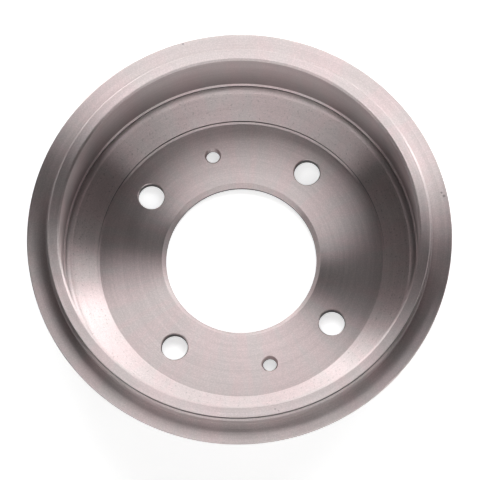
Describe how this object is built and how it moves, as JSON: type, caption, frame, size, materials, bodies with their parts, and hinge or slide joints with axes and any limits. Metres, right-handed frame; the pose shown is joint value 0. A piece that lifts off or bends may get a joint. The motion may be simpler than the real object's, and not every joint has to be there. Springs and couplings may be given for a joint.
{
  "type": "brake drum",
  "caption": "Turned cast-iron brake drum with a labyrinth flange round its mouth, a coned web, a chamfered pilot bore, stud holes and tapped jack-screw holes.",
  "frame": {"origin": "centre of the wheel seat, the flat outer face of the web that the drum lies on", "axes": "+Z along the drum's axis from the wheel seat towards the mouth; +X at 45 degrees between two stud holes"},
  "size_m": [0.2136, 0.2136, 0.0565],
  "materials": {
    "cast_iron": "turned, with fine circular tool marks"
  },
  "bodies": {
    "root": {"brake_drum": "cast_iron"}
  },
  "joints": []
}
